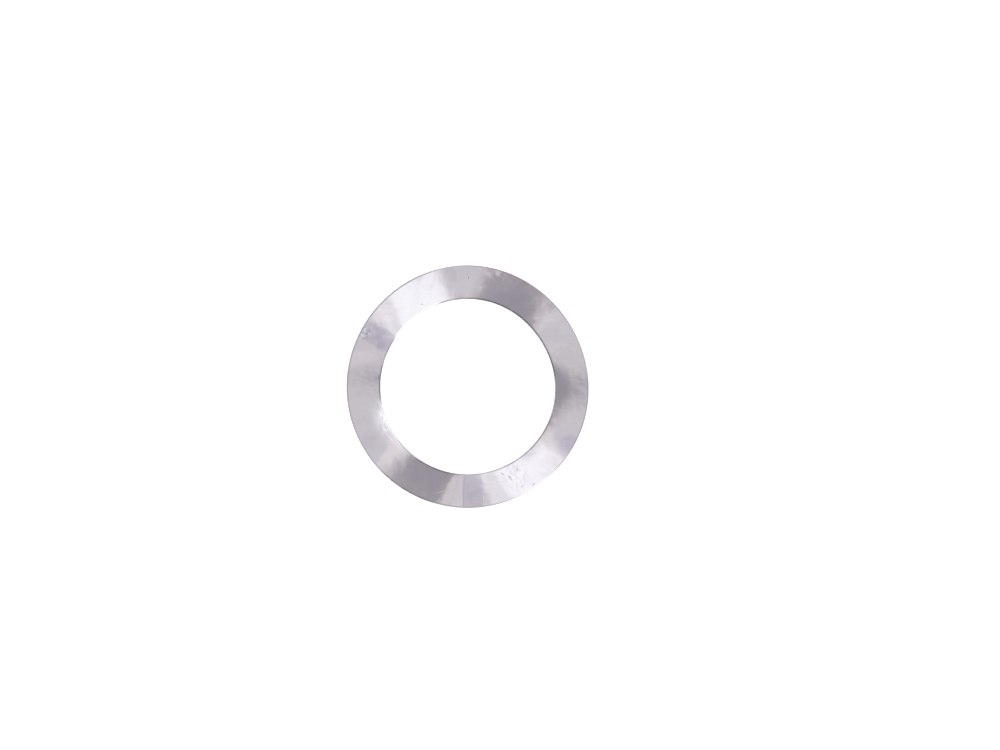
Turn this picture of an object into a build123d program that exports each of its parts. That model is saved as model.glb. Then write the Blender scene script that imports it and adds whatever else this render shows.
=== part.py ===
from build123d import *
from build123d.topology import SkipClean

import os
from itertools import pairwise
from math import cos, hypot, radians, sin

# Wave washer: a flat ring blanked from thin hard spring strip and pressed into even waves.
# It is one piece. Loaded along its axis, the crests and troughs are pushed towards the flat.
#
# Frame: millimetres, origin on the bore axis in the plane that the troughs stand on,
# +Z along the bore axis, one crest over +Y.

# Driving dimensions
outer_diameter = 28.0
inner_diameter = 20.2
strip_thickness = 0.4
free_height = 2.2  # over crests and troughs, unloaded
wave_count = 3
crest_direction = 90.0  # degrees from +X to the first crest
roll_bevel = 0.07  # die roll that blanking leaves on the upper face's edges
break_bevel = 0.03  # burr side, tumbled
crown_share = 2 / 3  # part of a half wave that a crown or a trough takes, the rest is flank

# How finely the pressed faces follow the wave
line_spans = 12
end_chord = 0.001  # degrees each side of a line's end, for its direction there
trim_allowance = strip_thickness  # by which the pressed strip passes the blanked walls

# Worked out from the driving dimensions
outer_radius = outer_diameter / 2
inner_radius = inner_diameter / 2
ring_width = outer_radius - inner_radius
middle_radius = (outer_radius + inner_radius) / 2
middle_height = free_height / 2
amplitude = (free_height - strip_thickness) / 2
half_wave = 180 / wave_count  # degrees from a crest to the next trough
crown_reach = crown_share * half_wave / 2

UPPER = 1
LOWER = -1


def wave_point(radius, side, angle):
    """A point of the upper or lower face, at this radius and this angle from a crest.

    The middle of the strip follows a cosine. The strip keeps its thickness square to
    itself, so where it slopes, its faces stand further apart when measured upright.
    """
    phase = radians(wave_count * angle)
    slope = wave_count * amplitude * sin(phase) / radius
    upright_half = strip_thickness / 2 * hypot(1, slope)
    height = middle_height + amplitude * cos(phase) + side * upright_half
    return Vector(radius * cos(radians(angle)), radius * sin(radians(angle)), height)


def wave_line(radius, side, start, end):
    """The wave as it runs round a cylinder, leaving each end as the next zone's line does."""
    angles = [start + (end - start) * span / line_spans for span in range(line_spans + 1)]
    points = [wave_point(radius, side, angle) for angle in angles]
    directions = [
        wave_point(radius, side, angle + end_chord) - wave_point(radius, side, angle - end_chord)
        for angle in (start, end)
    ]
    return Spline(*points, tangents=directions)


def wave_face(side, start, end):
    """Pressed face of one zone: level radial rulings from the outer wave line to the inner."""
    outer_line = wave_line(outer_radius + trim_allowance, side, start, end)
    inner_line = wave_line(inner_radius - trim_allowance, side, start, end)
    return Face.make_surface_from_curves(outer_line, inner_line)


def pressed_zone(start, end):
    """One zone of the ring: its blanked walls, round and upright, between its pressed faces."""
    with BuildPart() as zone:
        with BuildSketch(Plane.XZ.rotated((0, 0, start))):
            with Locations((middle_radius, middle_height)):
                Rectangle(ring_width, 2 * free_height)
        revolve(axis=Axis.Z, revolution_arc=end - start)
        split(bisect_by=wave_face(UPPER, start, end), keep=Keep.BOTTOM)
        split(bisect_by=wave_face(LOWER, start, end), keep=Keep.TOP)
    return zone.part


def rim_edges(ring, side):
    """The edges that the upper or lower face shares with the bore and the rim."""
    pressed = ring.faces().filter_by(lambda face: side * face.normal_at().Z > 0)
    wall_edges = ring.faces().filter_by(GeomType.CYLINDER).edges()
    return [edge for edge in pressed.edges() if edge in wall_edges]


# One wave: crown, falling flank, trough, rising flank. Each zone of the ring keeps its own
# faces, so the walls are never cleaned into one face that winds up and down.
zone_ends = [
    -crown_reach,
    crown_reach,
    half_wave - crown_reach,
    half_wave + crown_reach,
    2 * half_wave - crown_reach,
]
wave_zones = [pressed_zone(start, end) for start, end in pairwise(zone_ends)]

with SkipClean(), BuildPart() as pressed_ring:
    with PolarLocations(0, wave_count, start_angle=crest_direction):
        add(wave_zones)

# Blanking rolls the edges of the face that the punch meets, and tumbling breaks the others.
rolled_ring = pressed_ring.part.chamfer(roll_bevel, None, rim_edges(pressed_ring.part, UPPER))
tumbled_ring = rolled_ring.chamfer(break_bevel, None, rim_edges(rolled_ring, LOWER))

with BuildPart() as wave_washer:
    add(tumbled_ring, clean=False)

wave_washer.part.label = "wave_washer"

os.makedirs("parts", exist_ok=True)
export_step(wave_washer.part, "parts/wave_washer.step")
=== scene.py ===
from math import asin, atan2, cos, hypot, pi, radians, sin

import bmesh
import bpy
from mathutils import Matrix, Vector


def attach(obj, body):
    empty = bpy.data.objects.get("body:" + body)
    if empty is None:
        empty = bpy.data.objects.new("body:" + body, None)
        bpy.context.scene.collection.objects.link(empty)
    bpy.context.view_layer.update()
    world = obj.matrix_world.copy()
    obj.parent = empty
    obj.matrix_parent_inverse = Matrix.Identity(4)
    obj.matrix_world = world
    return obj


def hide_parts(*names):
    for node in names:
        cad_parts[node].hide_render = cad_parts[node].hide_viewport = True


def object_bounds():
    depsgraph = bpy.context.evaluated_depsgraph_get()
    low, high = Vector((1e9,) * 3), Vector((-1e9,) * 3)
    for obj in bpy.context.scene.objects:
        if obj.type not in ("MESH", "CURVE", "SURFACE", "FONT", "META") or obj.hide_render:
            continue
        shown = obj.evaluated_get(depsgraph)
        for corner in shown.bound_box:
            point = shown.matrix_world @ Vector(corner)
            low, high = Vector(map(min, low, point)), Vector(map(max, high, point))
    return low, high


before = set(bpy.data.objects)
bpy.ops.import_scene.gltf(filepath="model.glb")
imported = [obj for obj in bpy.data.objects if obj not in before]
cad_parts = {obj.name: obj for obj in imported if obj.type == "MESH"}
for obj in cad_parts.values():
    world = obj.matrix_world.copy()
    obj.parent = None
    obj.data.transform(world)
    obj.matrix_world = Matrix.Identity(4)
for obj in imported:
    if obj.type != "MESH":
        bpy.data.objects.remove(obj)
cad_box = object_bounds()


# Wave washer: the whole object. A flat ring is blanked from thin, hard, bright-rolled spring
# steel strip, tumbled, and pressed into three even waves. The blanking rolls over the edges of
# its upper face and the tumbling dulls them. It is loose, and lies on its three troughs.
OUTER_RADIUS = min(abs(side) for corner in cad_box for side in corner.xy)
INNER_RADIUS = 0.0101
MIDDLE_RADIUS = (OUTER_RADIUS + INNER_RADIUS) / 2
HALF_WIDTH = (OUTER_RADIUS - INNER_RADIUS) / 2
STRIP_THICKNESS = 0.0004
FREE_HEIGHT = cad_box[1].z - cad_box[0].z
AMPLITUDE = (FREE_HEIGHT - STRIP_THICKNESS) / 2
WAVES = 3
CREST_DIRECTION = radians(90)
ROLLED_EDGE = 0.0001
TUMBLED_EDGE = 0.00004
FLAT_BORDER = 0.00003
EDGE_STEPS = 6
STEPS_ROUND = 480
STEPS_ACROSS = 12
MERGE_DISTANCE = 1e-7
NEARLY_HALF = 0.49
UPPER = 1
LOWER = -1


def radius_of(vert):
    return hypot(vert.co.x, vert.co.y)


def runs_across(edge):
    """A straight edge over the flat of the strip, from near its bore to near its rim."""
    return abs(radius_of(edge.verts[0]) - radius_of(edge.verts[1])) > HALF_WIDTH


def blank_the_ring():
    """The flat ring as it leaves the die, a full turn of the strip's cut section."""
    bm = bmesh.new()
    half = STRIP_THICKNESS / 2
    corners = [
        bm.verts.new((radius, 0, height))
        for radius, height in (
            (INNER_RADIUS, -half),
            (OUTER_RADIUS, -half),
            (OUTER_RADIUS, half),
            (INNER_RADIUS, half),
        )
    ]
    sides = [bm.edges.new((corners[i - 1], corners[i])) for i in range(4)]
    bmesh.ops.spin(
        bm, geom=corners + sides, cent=(0, 0, 0), axis=(0, 0, 1), angle=2 * pi,
        steps=STEPS_ROUND, use_merge=True,
    )
    bmesh.ops.remove_doubles(bm, verts=bm.verts, dist=MERGE_DISTANCE)
    bmesh.ops.recalc_face_normals(bm, faces=bm.faces)
    return bm


def round_the_rims(bm, side, size):
    """Round the bore edge and the rim edge of the upper or lower face."""
    face_height = NEARLY_HALF * STRIP_THICKNESS
    rims = [
        edge for edge in bm.edges
        if all(vert.co.z * side > face_height for vert in edge.verts) and not runs_across(edge)
    ]
    bmesh.ops.bevel(
        bm, geom=rims, offset=size, offset_type="OFFSET", affect="EDGES",
        segments=EDGE_STEPS, profile=0.5, material=-1, clamp_overlap=True,
    )


def press_the_waves(bm):
    """Lift every point by the wave, and keep the strip's thickness square to itself."""
    middle = FREE_HEIGHT / 2
    for vert in bm.verts:
        radius = radius_of(vert)
        phase = WAVES * (atan2(vert.co.y, vert.co.x) - CREST_DIRECTION)
        slope = WAVES * AMPLITUDE * sin(phase) / radius
        vert.co.z = middle + AMPLITUDE * cos(phase) + vert.co.z * hypot(1, slope)


washer_bm = blank_the_ring()
round_the_rims(washer_bm, UPPER, ROLLED_EDGE)
round_the_rims(washer_bm, LOWER, TUMBLED_EDGE)

# A narrow border keeps the flats' shading true right up to the rounded edges.
flats = [face for face in washer_bm.faces if any(runs_across(edge) for edge in face.edges)]
bmesh.ops.inset_region(washer_bm, faces=flats, thickness=FLAT_BORDER, use_even_offset=True)
across = [edge for edge in washer_bm.edges if runs_across(edge)]
bmesh.ops.subdivide_edges(washer_bm, edges=across, cuts=STEPS_ACROSS - 1, use_grid_fill=True)
press_the_waves(washer_bm)
bmesh.ops.recalc_face_normals(washer_bm, faces=washer_bm.faces)
for face in washer_bm.faces:
    face.smooth = True

washer_mesh = bpy.data.meshes.new("pressed_wave_washer")
washer_bm.to_mesh(washer_mesh)
washer_bm.free()
washer = bpy.data.objects.new("pressed_wave_washer", washer_mesh)
bpy.context.collection.objects.link(washer)


def add_node(tree, kind, settings=None, **values):
    """A node with its settings, and its inputs set or linked by name, or by place as n0, n1, n2."""
    node = tree.nodes.new(kind)
    for name, value in (settings or {}).items():
        setattr(node, name, value)
    for name, value in values.items():
        key = int(name[1:]) if name[0] == "n" and name[1:].isdigit() else name.replace("_", " ")
        if isinstance(value, bpy.types.NodeSocket):
            tree.links.new(value, node.inputs[key])
        else:
            node.inputs[key].default_value = value
    return node


def number(tree, operation, first, second=0.0, third=0.0):
    """One step of arithmetic."""
    node = add_node(tree, "ShaderNodeMath", {"operation": operation}, n0=first, n1=second, n2=third)
    return node.outputs[0]


def product(tree, first, second):
    """One value times another, such as a mask and its strength."""
    return number(tree, "MULTIPLY", first, second)


def most(tree, *masks):
    """The strongest of several masks at each point."""
    strongest = masks[0]
    for mask in masks[1:]:
        strongest = number(tree, "MAXIMUM", strongest, mask)
    return strongest


def ramp(tree, value, low, high, to_low=0.0, to_high=1.0):
    """A smooth step of a value from low to high."""
    return add_node(
        tree, "ShaderNodeMapRange", {"interpolation_type": "SMOOTHSTEP"},
        Value=value, From_Min=low, From_Max=high, To_Min=to_low, To_Max=to_high,
    ).outputs["Result"]


def blend_colours(tree, share, first, second, mode="MIX"):
    """The first colour, with this share of the second mixed in or, as MULTIPLY, glazed over it."""
    return add_node(
        tree, "ShaderNodeMix", {"data_type": "RGBA", "blend_type": mode}, n0=share, n6=first, n7=second,
    ).outputs[2]


def vector_step(tree, operation, output="Vector", **values):
    """One step of arithmetic on places."""
    return add_node(tree, "ShaderNodeVectorMath", {"operation": operation}, **values).outputs[output]


def mapped(tree, vector, **values):
    """A place turned or stretched by a mapping."""
    return add_node(tree, "ShaderNodeMapping", {}, Vector=vector, **values).outputs[0]


def noise(tree, vector, scale, detail, roughness=0.5, distortion=0.0, output="Fac"):
    """Even noise; its scale is the number of its cells in a metre, unless the place is stretched."""
    return add_node(
        tree, "ShaderNodeTexNoise", {}, Vector=vector,
        Scale=scale, Detail=detail, Roughness=roughness, Distortion=distortion,
    ).outputs[output]


spring_steel = bpy.data.materials.new("bright_rolled_spring_steel")
spring_steel.use_nodes = True
steel = spring_steel.node_tree
steel.nodes.clear()

# Where a point lies: how far out from the bore's axis, which way round the ring in radians from
# +X, how deep in the strip, from 1 on its upper face to -1 on its lower one, and how far from the
# middle of the strip's width, from -1 at the bore to 1 at the rim.
LEVEL = (1, 1, 0)
place = add_node(steel, "ShaderNodeTexCoord").outputs["Object"]
place_x, place_y, place_z = add_node(steel, "ShaderNodeSeparateXYZ", {}, Vector=place).outputs
level_place = vector_step(steel, "MULTIPLY", n0=place, n1=LEVEL)
distance_out = vector_step(steel, "LENGTH", "Value", n0=level_place)
azimuth = number(steel, "ARCTAN2", place_y, place_x)
crest_share = number(steel, "COSINE", number(steel, "MULTIPLY_ADD", azimuth, WAVES, -WAVES * CREST_DIRECTION))
wave_height = number(steel, "MULTIPLY_ADD", crest_share, AMPLITUDE, FREE_HEIGHT / 2)
depth = number(steel, "DIVIDE", number(steel, "SUBTRACT", place_z, wave_height), STRIP_THICKNESS / 2)
from_middle = number(steel, "DIVIDE", number(steel, "SUBTRACT", distance_out, MIDDLE_RADIUS), HALF_WIDTH)
upper_face = ramp(steel, depth, 0.2, 0.8)


def on_upper_face(mask):
    """A mark that only the face that was up in the press has."""
    return product(steel, upper_face, mask)


def around(angle, reach, fade=6):
    """A stretch of the ring, in degrees either side of this angle."""
    nearness = number(steel, "COSINE", number(steel, "SUBTRACT", azimuth, radians(angle)))
    return ramp(steel, nearness, cos(radians(reach + fade)), cos(radians(max(reach - fade, 0))))


def patch(vector, angle, radius, reach_round, reach_across, softness=0.7, slant=0.0):
    """An oval patch on the ring, its angle and slant in degrees; softness is the share of it that fades."""
    bearing = radians(angle)
    turned = add_node(
        steel, "ShaderNodeMapping", {"vector_type": "TEXTURE"},
        Vector=vector, Location=(radius * cos(bearing), radius * sin(bearing), 0),
        Rotation=(0, 0, bearing + radians(slant)), Scale=(reach_across, reach_round, 1),
    ).outputs[0]
    distance = vector_step(steel, "LENGTH", "Value", n0=vector_step(steel, "MULTIPLY", n0=turned, n1=LEVEL))
    return ramp(steel, distance, 1.0, 1.0 - softness)


# The pressing leaves the strip slightly cupped: both its edges curl up, the bore's the more,
# and most at the crests. It is far too little to measure, but it bends what the face reflects.
# A curl is the upward slope that an edge has gained. One short stretch of the rim has a kink.
BORE_CURL, BORE_CURL_AT_CRESTS = 0.066, 0.042
RIM_CURL, RIM_CURL_AT_CRESTS = 0.008, 0.016
KINK_ANGLE, KINK_REACH, KINK_CURL = 48.5, 4, 0.045
bore_half = number(steel, "LESS_THAN", from_middle, 0.0)
bore_curl = number(steel, "MULTIPLY_ADD", crest_share, BORE_CURL_AT_CRESTS, BORE_CURL)
rim_curl = number(steel, "MULTIPLY_ADD", crest_share, RIM_CURL_AT_CRESTS, RIM_CURL)
rim_curl = number(steel, "MULTIPLY_ADD", around(KINK_ANGLE, KINK_REACH), KINK_CURL, rim_curl)
curl = add_node(
    steel, "ShaderNodeMix", {"data_type": "FLOAT"}, n0=bore_half, n2=rim_curl, n3=bore_curl,
).outputs[0]
cup = product(steel, product(steel, from_middle, from_middle), product(steel, curl, HALF_WIDTH / 2))

# The strip is never quite true after pressing, in long soft swells and in small ripples.
# Rolling lines run straight through the whole ring, because it was cut from strip. The polish
# is clouded over some millimetres, and finely mottled.
swells = noise(steel, place, scale=230.0, detail=0.0)
ripples = noise(steel, place, scale=900.0, detail=1.0)
rolling_lines = noise(steel, mapped(steel, place, Scale=(120, 9000, 9000)), scale=1.0, detail=3.0)
clouding = noise(steel, place, scale=420.0, detail=4.0, roughness=0.55)
mottle = noise(steel, place, scale=1500.0, detail=3.0, distortion=1.5)

# The press tool bore on the face at two of the troughs, and touched it near the rim on the
# crests. It left dulled, bluish marks, most of them with ragged edges.
ACROSS_STRIP = 0.0060
WANDER = 0.0005
wander = vector_step(
    steel, "SCALE", n0=noise(steel, place, scale=1100.0, detail=2.0, output="Color"), Scale=WANDER,
)
ragged_place = vector_step(steel, "ADD", n0=place, n1=wander)
ragged_place = vector_step(steel, "SUBTRACT", n0=ragged_place, n1=(WANDER / 2, WANDER / 2, WANDER / 2))
crest_mark = patch(ragged_place, 327.0, 0.0136, 0.00150, 0.0017, softness=0.45)
tool_marks = on_upper_face(most(
    steel,
    patch(ragged_place, 148.0, MIDDLE_RADIUS, 0.00122, ACROSS_STRIP, softness=0.14),
    patch(ragged_place, 150.6, 0.01120, 0.00120, 0.00110, softness=0.5),
    product(steel, patch(place, 270.1, MIDDLE_RADIUS, 0.00126, ACROSS_STRIP, softness=0.08), 0.8),
    product(steel, crest_mark, 0.85),
    product(steel, patch(ragged_place, 206.8, 0.0129, 0.0016, 0.0018, softness=0.8), 0.5),
    product(steel, patch(ragged_place, 96.6, 0.0133, 0.0011, 0.0021, softness=0.7), 0.6),
))

# The marks on the troughs are bruised in soft blotches. One has a sharp border, drawn as a painted
# highlight with a painted shadow beside it. Against the rim the tool chattered on the other, and left fine
# flecks.
bruised = on_upper_face(most(
    steel,
    patch(ragged_place, 148.8, MIDDLE_RADIUS, 0.00130, 0.0050, softness=0.3),
    product(steel, patch(ragged_place, 270.3, 0.0118, 0.00110, 0.0026, softness=0.6), 0.6),
))
blotches = noise(steel, place, scale=850.0, detail=2.0, roughness=0.45)
dark_blotches = product(steel, bruised, ramp(steel, blotches, 0.48, 0.66))
pale_blotches = product(steel, bruised, ramp(steel, blotches, 0.47, 0.33))
# A painted highlight along one trough mark's border, and a painted shadow beside it.
painted_border_highlight = on_upper_face(patch(place, 264.4, MIDDLE_RADIUS, 0.00010, ACROSS_STRIP, softness=0.8))
mark_shadow = on_upper_face(patch(place, 265.5, MIDDLE_RADIUS, 0.00011, ACROSS_STRIP, softness=0.8))
chattered = on_upper_face(patch(ragged_place, 149.5, 0.0136, 0.00110, 0.0010, softness=0.6))
dark_flecks = product(steel, chattered, ramp(steel, mottle, 0.50, 0.58))
bright_flecks = product(steel, chattered, ramp(steel, mottle, 0.46, 0.38))

# Short scratches in two directions, where the ring has been handled and stacked. The same comb
# of lines shows as bright wisps where it has rubbed beside its bore. One bright streak lies alone.
scratched = on_upper_face(patch(ragged_place, 295.5, 0.0117, 0.0022, 0.0022))
rubbed_at_bore = on_upper_face(patch(ragged_place, 203.0, 0.0105, 0.0024, 0.0006, softness=0.6))
combs = []
for turn in (radians(52), radians(92)):
    combed = mapped(steel, mapped(steel, place, Rotation=(0, 0, turn)), Scale=(700, 3000, 700))
    combs.append(ramp(steel, noise(steel, combed, scale=1.0, detail=1.0), 0.57, 0.63))
comb_lines = most(steel, *combs)
scratches = product(steel, comb_lines, scratched)
wisps = product(steel, rubbed_at_bore, comb_lines)
lone_bright_streak = on_upper_face(patch(place, 253.2, 0.0125, 0.00095, 0.00011, softness=0.8, slant=32))
scratch_flecks = product(steel, scratched, ramp(steel, mottle, 0.44, 0.36, 0.0, 0.45))
bright_flecks = most(steel, bright_flecks, scratch_flecks)

# Single nicks and specks, each with its angle, its radius, its reach round and across the ring,
# its slant in degrees, and its strength.
nicks = on_upper_face(most(steel, *[
    product(steel, patch(place, angle, radius, reach_round, reach_across, slant=slant), strength)
    for angle, radius, reach_round, reach_across, slant, strength in (
        (87.1, 0.01257, 0.00010, 0.00024, 0, 1.0),
        (117.0, 0.01090, 0.00018, 0.00022, 0, 0.6),
        (275.3, 0.01300, 0.00010, 0.00026, 0, 1.0),
        (296.2, 0.01312, 0.00020, 0.00012, 30, 1.0),
        (292.6, 0.01156, 0.00006, 0.00042, 12, 1.0),
        (298.3, 0.01112, 0.00006, 0.00026, -30, 1.0),
        (289.3, 0.01084, 0.00006, 0.00034, 35, 1.0),
        (301.5, 0.01360, 0.00030, 0.00010, 10, 1.0),
        (171.0, 0.01030, 0.00045, 0.00014, 0, 1.0),
        (95.4, 0.01060, 0.00009, 0.00014, 0, 1.0),
    )
]))


def painted_shade_along(stretches):
    """How dark the painted shade along an edge is round the ring, by stretches of angle, reach, fade and
    strength.
    """
    return most(steel, *[
        product(steel, around(angle, reach, fade), strength) for angle, reach, fade, strength in stretches
    ])


# The blanked edges are duller, and carry a painted dark line of shade and dark reflection.
# The line runs along the upper half of the rim's edge, and over most of the bore's wall.
EDGE_BAND = 0.00024
RIM_EDGE_FULL = 0.00007
BORE_EDGE_FULL = 0.00008
LEAST_RIM_SHADE = 0.12
rim_edge = ramp(steel, distance_out, OUTER_RADIUS - EDGE_BAND, OUTER_RADIUS - RIM_EDGE_FULL)
bore_edge = ramp(steel, distance_out, INNER_RADIUS + EDGE_BAND, INNER_RADIUS + BORE_EDGE_FULL)
edges = most(steel, rim_edge, bore_edge)
# How strong the painted shade is along the rim and along the bore, stretch by stretch round the ring.
painted_rim_shade = painted_shade_along((
    (126, 20, 8, 0.75),
    (190, 42, 8, 0.42),
    (236, 14, 6, 0.85),
    (262, 22, 6, 0.3),
    (345, 19, 6, 0.3),
    (66, 8, 6, 0.35),
))
painted_bore_shade = painted_shade_along((
    (46, 44, 10, 1.0),
    (91, 6, 3, 0.65),
    (2, 22, 6, 0.35),
    (150, 5, 6, 0.4),
    (175, 11, 6, 0.8),
    (245, 12, 4, 0.9),
    (259, 3, 3, 0.5),
    (296, 14, 6, 0.5),
    (322, 16, 6, 0.8),
    (101.5, 3.5, 2, 0.5),
))
painted_rim_shade = product(steel, most(steel, painted_rim_shade, LEAST_RIM_SHADE), ramp(steel, depth, 0.0, 0.5))
painted_bore_shade = product(steel, painted_bore_shade, ramp(steel, depth, -1.0, -0.6))
# The painted shade along both edges, broken up by the mottle.
painted_edge_shade = most(steel, product(steel, rim_edge, painted_rim_shade), product(steel, bore_edge, painted_bore_shade))
painted_edge_shade = product(steel, painted_edge_shade, ramp(steel, mottle, 0.30, 0.50, 0.6, 1.0))

# Along some stretches the edges of the upper face are lightened, a painted highlight where they catch
# the light. Handling has left a faint reddish stain along one stretch of the rim.
STAIN_WIDTH = 0.0008
# Painted highlight on the bore's and the rim's edges, in the stretches given.
painted_edge_highlight = on_upper_face(most(
    steel,
    product(steel, bore_edge, most(steel, around(126, 18, 3), around(201, 13, 4))),
    product(steel, rim_edge, product(steel, around(302, 9), 0.8)),
))
stain = product(steel, around(62, 20), ramp(steel, distance_out, OUTER_RADIUS - STAIN_WIDTH, OUTER_RADIUS))

# The blanked walls: a burnished band below the upper edge, then a duller, torn one, both scored
# up and down by the die.
NEAR_WALL = 0.00005
AT_WALL = 0.00001
out_of_middle = product(steel, number(steel, "ABSOLUTE", from_middle), HALF_WIDTH)
walls = ramp(steel, number(steel, "SUBTRACT", HALF_WIDTH, out_of_middle), NEAR_WALL, AT_WALL)
scoring = noise(steel, mapped(steel, place, Scale=(6000, 6000, 500)), scale=1.0, detail=2.0)
tear_line = number(steel, "MULTIPLY_ADD", number(steel, "SUBTRACT", scoring, 0.5), 0.8, depth)
torn = product(steel, walls, ramp(steel, tear_line, 0.30, 0.05))
wall_tone = blend_colours(
    steel, ramp(steel, scoring, 0.3, 0.7), (0.50, 0.48, 0.51, 1), (0.60, 0.585, 0.61, 1),
)

# The finish in its layers, from the bare steel up: where each shows, how strongly, and its
# colour, mixed in or glazed over what lies below.
tone = blend_colours(
    steel, ramp(steel, clouding, 0.35, 0.65), (0.645, 0.620, 0.662, 1), (0.675, 0.650, 0.688, 1),
)
for mask, strength, colour, mode in (
    (ramp(steel, rolling_lines, 0.35, 0.7), 0.25, (0.60, 0.580, 0.62, 1), "MIX"),
    (tool_marks, 1.0, (0.84, 0.835, 0.88, 1), "MULTIPLY"),
    (on_upper_face(crest_mark), 1.0, (0.99, 0.985, 1.02, 1), "MULTIPLY"),
    (dark_blotches, 1.0, (0.88, 0.85, 0.90, 1), "MULTIPLY"),
    (pale_blotches, 0.5, (0.60, 0.585, 0.66, 1), "MIX"),
    (dark_flecks, 1.0, (0.70, 0.68, 0.72, 1), "MULTIPLY"),
    (bright_flecks, 1.0, (0.76, 0.74, 0.79, 1), "MIX"),
    # painted highlight and painted shadow along one mark's border
    (painted_border_highlight, 0.5, (0.74, 0.72, 0.74, 1), "MIX"),
    (mark_shadow, 1.0, (0.90, 0.885, 0.90, 1), "MULTIPLY"),
    (lone_bright_streak, 0.6, (0.88, 0.87, 0.90, 1), "MIX"),
    (wisps, 0.42, (0.92, 0.92, 0.94, 1), "MIX"),
    (scratches, 0.28, (0.50, 0.48, 0.53, 1), "MIX"),
    (nicks, 0.45, (0.36, 0.33, 0.37, 1), "MIX"),
    (stain, 1.0, (1.0, 0.92, 0.955, 1), "MULTIPLY"),
    (walls, 1.0, wall_tone, "MIX"),
    (torn, 0.8, (0.34, 0.325, 0.345, 1), "MIX"),
    # painted shade along the edges
    (painted_edge_shade, 1.0, (0.22, 0.20, 0.22, 1), "MIX"),
    # painted highlight on the edges
    (painted_edge_highlight, 1.0, (0.97, 0.96, 0.98, 1), "MIX"),
):
    tone = blend_colours(steel, product(steel, mask, strength), tone, colour, mode)

# What dulls the polish, and by how much.
dullness = ramp(steel, clouding, 0.3, 0.7, 0.07, 0.12)
for mask, amount in ((most(steel, tool_marks, scratches), 0.08), (edges, 0.16), (torn, 0.22)):
    dullness = number(steel, "MULTIPLY_ADD", mask, amount, dullness)

# The relief of the face, in metres.
height = cup
for shape, rise in (
    (swells, 0.00008),
    (ripples, 0.000018),
    (rolling_lines, 0.00000003),
    (scratches, -0.000003),
    (nicks, -0.00001),
    (product(steel, walls, scoring), 0.000012),
):
    height = number(steel, "MULTIPLY_ADD", shape, rise, height)
relief = add_node(steel, "ShaderNodeBump", {}, Strength=1.0, Distance=1.0, Height=height).outputs["Normal"]
surface = add_node(
    steel, "ShaderNodeBsdfPrincipled", {}, Base_Color=tone, Roughness=dullness, Metallic=1.0, Normal=relief,
).outputs["BSDF"]
add_node(steel, "ShaderNodeOutputMaterial", {}, Surface=surface)
washer_mesh.materials.append(spring_steel)

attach(washer, "root")
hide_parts("wave_washer")


# Table: a sheet of pale, matt paper under the washer, lit softly from below as well, so that
# hardly a shadow shows.
TABLE_HALF = 1.5
TABLE_SQUARES = 8
PAPER_ROUGHNESS = 0.9
PAPER_GLOW = 0.6
table_bm = bmesh.new()
bmesh.ops.create_grid(table_bm, x_segments=TABLE_SQUARES, y_segments=TABLE_SQUARES, size=TABLE_HALF)
table_mesh = bpy.data.meshes.new("pale_table")
table_bm.to_mesh(table_mesh)
table_bm.free()
table = bpy.data.objects.new("pale_table", table_mesh)
bpy.context.collection.objects.link(table)
pale_paper = bpy.data.materials.new("pale_paper")
pale_paper.use_nodes = True
paper = pale_paper.node_tree
paper_shader = paper.nodes["Principled BSDF"]
paper_fibre = noise(paper, add_node(paper, "ShaderNodeTexCoord").outputs["Object"], scale=60.0, detail=2.0)
paper_tone = blend_colours(paper, paper_fibre, (0.90, 0.90, 0.90, 1), (0.92, 0.92, 0.92, 1))
paper.links.new(paper_tone, paper_shader.inputs["Base Color"])
paper_shader.inputs["Roughness"].default_value = PAPER_ROUGHNESS
paper_shader.inputs["Emission Color"].default_value = (1, 1, 1, 1)
paper_shader.inputs["Emission Strength"].default_value = PAPER_GLOW
table_mesh.materials.append(pale_paper)


# Light: a plain pale room, drawn in the sky. Nearly overhead are a bright window on one side and
# a dark wall on the other, and between them the dim shape of whoever leans over the table. Each
# has its place by its slope from straight up, counted from what level steel mirrors to the camera.
VIEW_TURN = radians(2.5)
MIRRORED_LEAN = Vector((0.0509, 0.0551))
LEAST_UP = 0.05
world = bpy.data.worlds.new("pale_studio")
bpy.context.scene.world = world
world.use_nodes = True
sky = world.node_tree
sky.nodes.clear()
towards = mapped(sky, add_node(sky, "ShaderNodeTexCoord").outputs["Generated"], Rotation=(0, 0, VIEW_TURN))
towards_x, towards_y, towards_z = add_node(sky, "ShaderNodeSeparateXYZ", {}, Vector=towards).outputs
up = number(sky, "MAXIMUM", towards_z, LEAST_UP)
lean_x = number(sky, "SUBTRACT", number(sky, "DIVIDE", towards_x, up), MIRRORED_LEAN.x)
lean_y = number(sky, "SUBTRACT", number(sky, "DIVIDE", towards_y, up), MIRRORED_LEAN.y)
lean = number(sky, "SQRT", number(sky, "ADD", product(sky, lean_x, lean_x), product(sky, lean_y, lean_y)))


def share_towards(angle, along_x, along_y):
    """How much of a level direction goes towards this compass angle."""
    across = product(sky, along_x, cos(radians(angle)))
    return number(sky, "ADD", across, product(sky, along_y, sin(radians(angle))))


def lean_towards(angle):
    """How far a direction leans towards this compass angle, as a slope."""
    return share_towards(angle, lean_x, lean_y)


def soft_oval(centre_x, centre_y, reach_x, reach_y, softness):
    """A patch of sky about this lean."""
    across = number(sky, "DIVIDE", number(sky, "SUBTRACT", lean_x, centre_x), reach_x)
    along = number(sky, "DIVIDE", number(sky, "SUBTRACT", lean_y, centre_y), reach_y)
    squares = number(sky, "MULTIPLY_ADD", across, across, product(sky, along, along))
    return ramp(sky, number(sky, "SQRT", squares), 1 + softness / 2, 1 - softness / 2)


def grey(level, tint=(1.0, 1.0, 1.0)):
    """A light of this level, hardly tinted."""
    return tuple(level * part for part in tint) + (1.0,)


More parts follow.
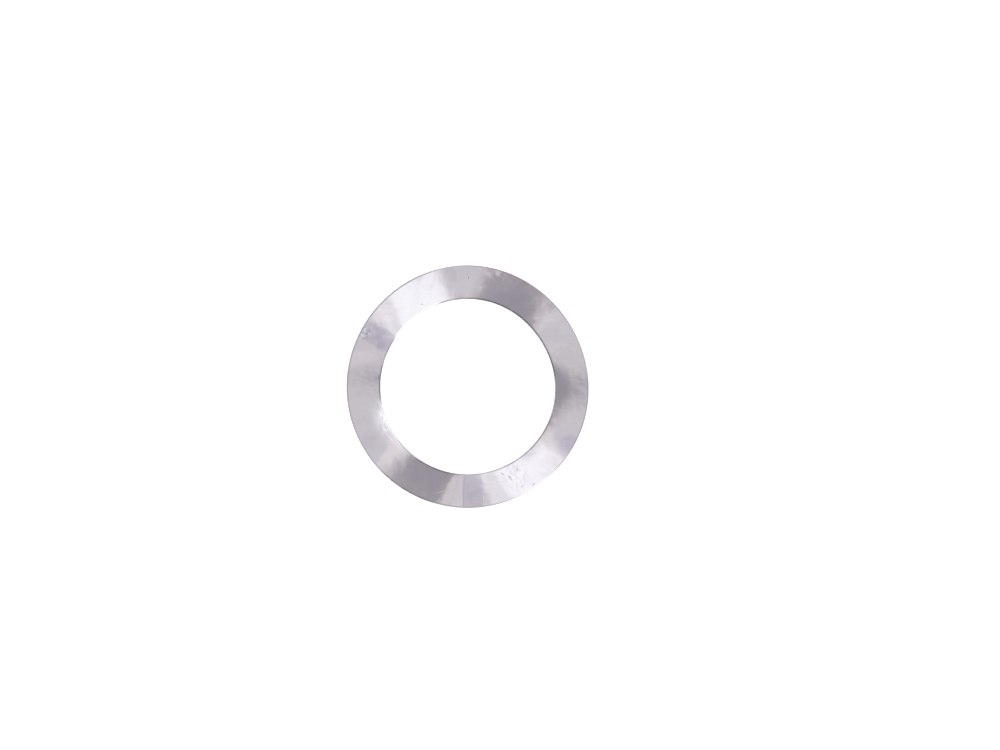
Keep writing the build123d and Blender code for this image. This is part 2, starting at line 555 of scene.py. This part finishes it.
# The ceiling, brighter towards the window, and the dim shape overhead.
light = blend_colours(
    sky, ramp(sky, lean_towards(270), -0.02, 0.025),
    grey(0.835, (1.014, 0.989, 0.997)), grey(1.05, (1.02, 0.996, 0.984)),
)
light = blend_colours(sky, soft_oval(-0.03, 0.02, 0.18, 0.16, 0.5), light, grey(0.86, (1.0, 0.985, 1.015)))

# The dark wall, with the soft spots of three lamps on it and beside it.
dark_wall = blend_colours(
    sky, ramp(sky, lean, 0.35, 0.5), grey(0.52, (1.018, 0.967, 1.015)), grey(0.465, (1.004, 0.955, 1.041)),
)
dark_side = most(
    sky,
    ramp(sky, lean_towards(355), 0.08, 0.325),
    ramp(sky, lean_towards(42), 0.215, 0.44),
)
light = blend_colours(sky, dark_side, light, dark_wall)
LAMP_TINT = (1.02, 0.99, 0.99)
for lamp_spot, level in (
    (soft_oval(0.247, -0.10, 0.053, 0.047, 0.6), 0.92),
    (soft_oval(0.02, 0.25, 0.05, 0.08, 0.8), 0.93),
    (soft_oval(0.215, 0.06, 0.05, 0.04, 0.6), 0.86),
):
    light = blend_colours(sky, lamp_spot, light, grey(level, LAMP_TINT))

# The sunlit wall beside the window, and the window, uneven with what is seen through it.
sunlit = product(
    sky,
    ramp(sky, lean_towards(192), 0.10, 0.40),
    ramp(sky, lean_towards(90), -0.055, -0.005),
)
light = blend_colours(sky, sunlit, light, grey(1.52, (0.985, 1.0, 1.015)))
window = grey(1.28, (1.0, 0.99, 1.01))
for share, pane in (
    (ramp(sky, lean_towards(250), 0.21, 0.40), grey(1.43, (0.99, 1.0, 1.01))),
    (ramp(sky, lean_towards(160), 0.24, 0.37), grey(1.41, (0.98, 1.015, 1.005))),
    (soft_oval(-0.29, -0.15, 0.075, 0.07, 1.0), grey(1.12, (1.0, 0.99, 1.01))),
    (soft_oval(-0.31, -0.04, 0.05, 0.04, 1.0), grey(1.42, (0.98, 1.01, 1.01))),
    (ramp(sky, lean_towards(290), 0.23, 0.40), grey(1.08, (1.0, 0.99, 1.01))),
):
    window = blend_colours(sky, share, window, pane)
light = blend_colours(sky, ramp(sky, lean_towards(219.5), 0.158, 0.278), light, window)

# The rest of the room, dim below the window, and paler opposite.
room = blend_colours(sky, ramp(sky, towards_z, 0.0, 0.6), grey(0.34), grey(0.55))
pale_wall = blend_colours(sky, ramp(sky, towards_z, 0.05, 0.25), grey(1.30), grey(0.84))
pale_side = share_towards(345, towards_x, towards_y)
room = blend_colours(sky, ramp(sky, pale_side, -0.3, 0.7), room, pale_wall)
light = blend_colours(sky, ramp(sky, lean, 0.62, 0.9), light, room)
background = add_node(sky, "ShaderNodeBackground", {}, Color=light, Strength=1.0).outputs[0]
add_node(sky, "ShaderNodeOutputWorld", {}, Surface=background)


# Camera: high above the table and about four degrees off the upright, from below and to the
# left of the washer as it is seen, which lies a little left of the view's middle and below it.
CAMERA_FOOT = Vector((-0.0110, -0.0146, 0))
CAMERA_HEIGHT = 0.290
VIEW_CENTRE = Vector((0.00372, 0.00137, FREE_HEIGHT / 2))
VIEW_WIDTH = 0.1157
SENSOR_WIDTH_MM = 36.0
camera_place = CAMERA_FOOT + Vector((0, 0, CAMERA_HEIGHT))
sight = VIEW_CENTRE - camera_place
camera_data = bpy.data.cameras.new("overhead_camera")
camera_data.sensor_width = SENSOR_WIDTH_MM
camera_data.lens = SENSOR_WIDTH_MM * sight.length / VIEW_WIDTH
camera_data.clip_start = 0.01
camera = bpy.data.objects.new("overhead_camera", camera_data)
bpy.context.collection.objects.link(camera)
camera.location = Matrix.Rotation(-VIEW_TURN, 3, "Z") @ camera_place
sight.normalize()
camera.rotation_euler = (asin(sight.y), atan2(-sight.x, -sight.z), -VIEW_TURN)
bpy.context.scene.camera = camera
bpy.context.scene.view_settings.view_transform = "Standard"
